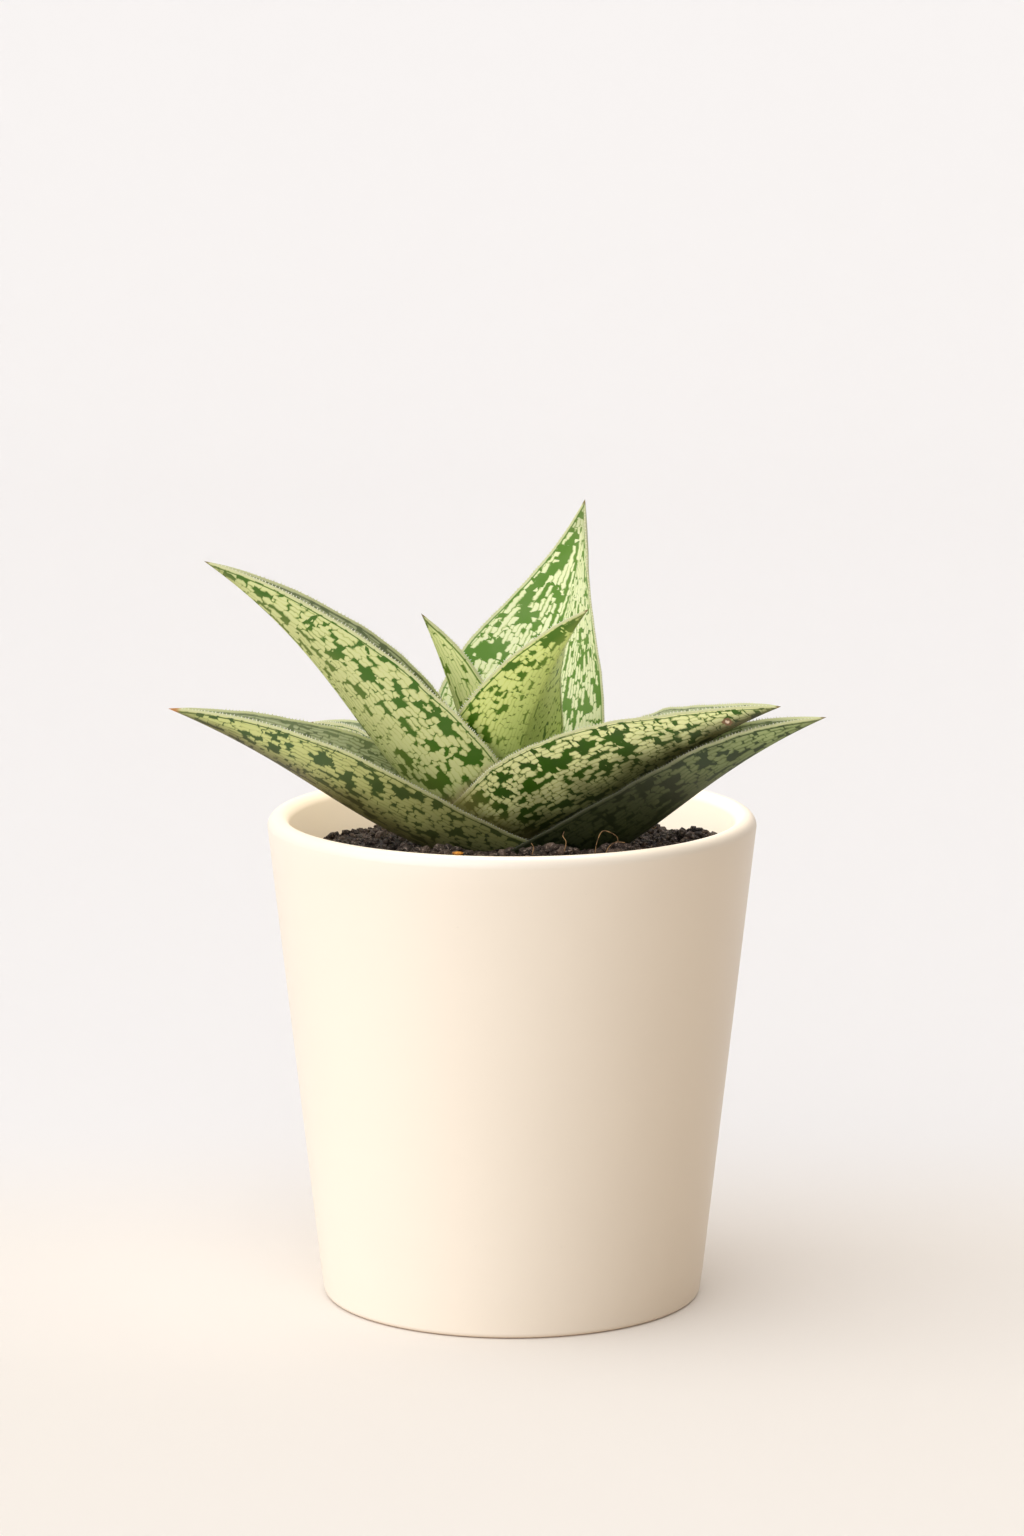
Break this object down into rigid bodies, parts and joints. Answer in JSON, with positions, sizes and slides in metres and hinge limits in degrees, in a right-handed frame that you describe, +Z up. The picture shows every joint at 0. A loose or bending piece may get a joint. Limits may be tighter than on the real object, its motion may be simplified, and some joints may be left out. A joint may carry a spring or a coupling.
{
  "type": "potted tiger aloe",
  "caption": "Rosette of thick, folded and keeled leaves, banded with pale dashes and finely toothed, growing from soil in a plain conical glazed pot with a flat base.",
  "frame": {"origin": "centre of the pot's flat underside, on the pot's axis, where it rests on a table", "axes": "+Z up along the pot's axis, +X to the right and +Y away from the viewer in the reference view"},
  "size_m": [0.1715, 0.1365, 0.2101],
  "materials": {
    "pot_glaze": "plain cream glaze with a soft satin gloss",
    "soil": "loose, dark, crumbly potting soil",
    "root_skin": "pale tan, matte, fleshy roots and stem",
    "leaf_skin": "smooth, waxy, green, with irregular cross bands of pale cream-green dashes and a pale toothed margin"
  },
  "bodies": {
    "root": {"pot": "pot_glaze", "soil": "soil", "stem_and_roots": "root_skin", "leaf_heart": "leaf_skin", "leaf_left_young": "leaf_skin", "leaf_front_young": "leaf_skin", "leaf_back_tall": "leaf_skin", "leaf_left_inner": "leaf_skin", "leaf_right_inner": "leaf_skin", "leaf_back_middle": "leaf_skin", "leaf_left_outer": "leaf_skin", "leaf_right_outer": "leaf_skin", "leaf_back_left": "leaf_skin"}
  },
  "joints": []
}
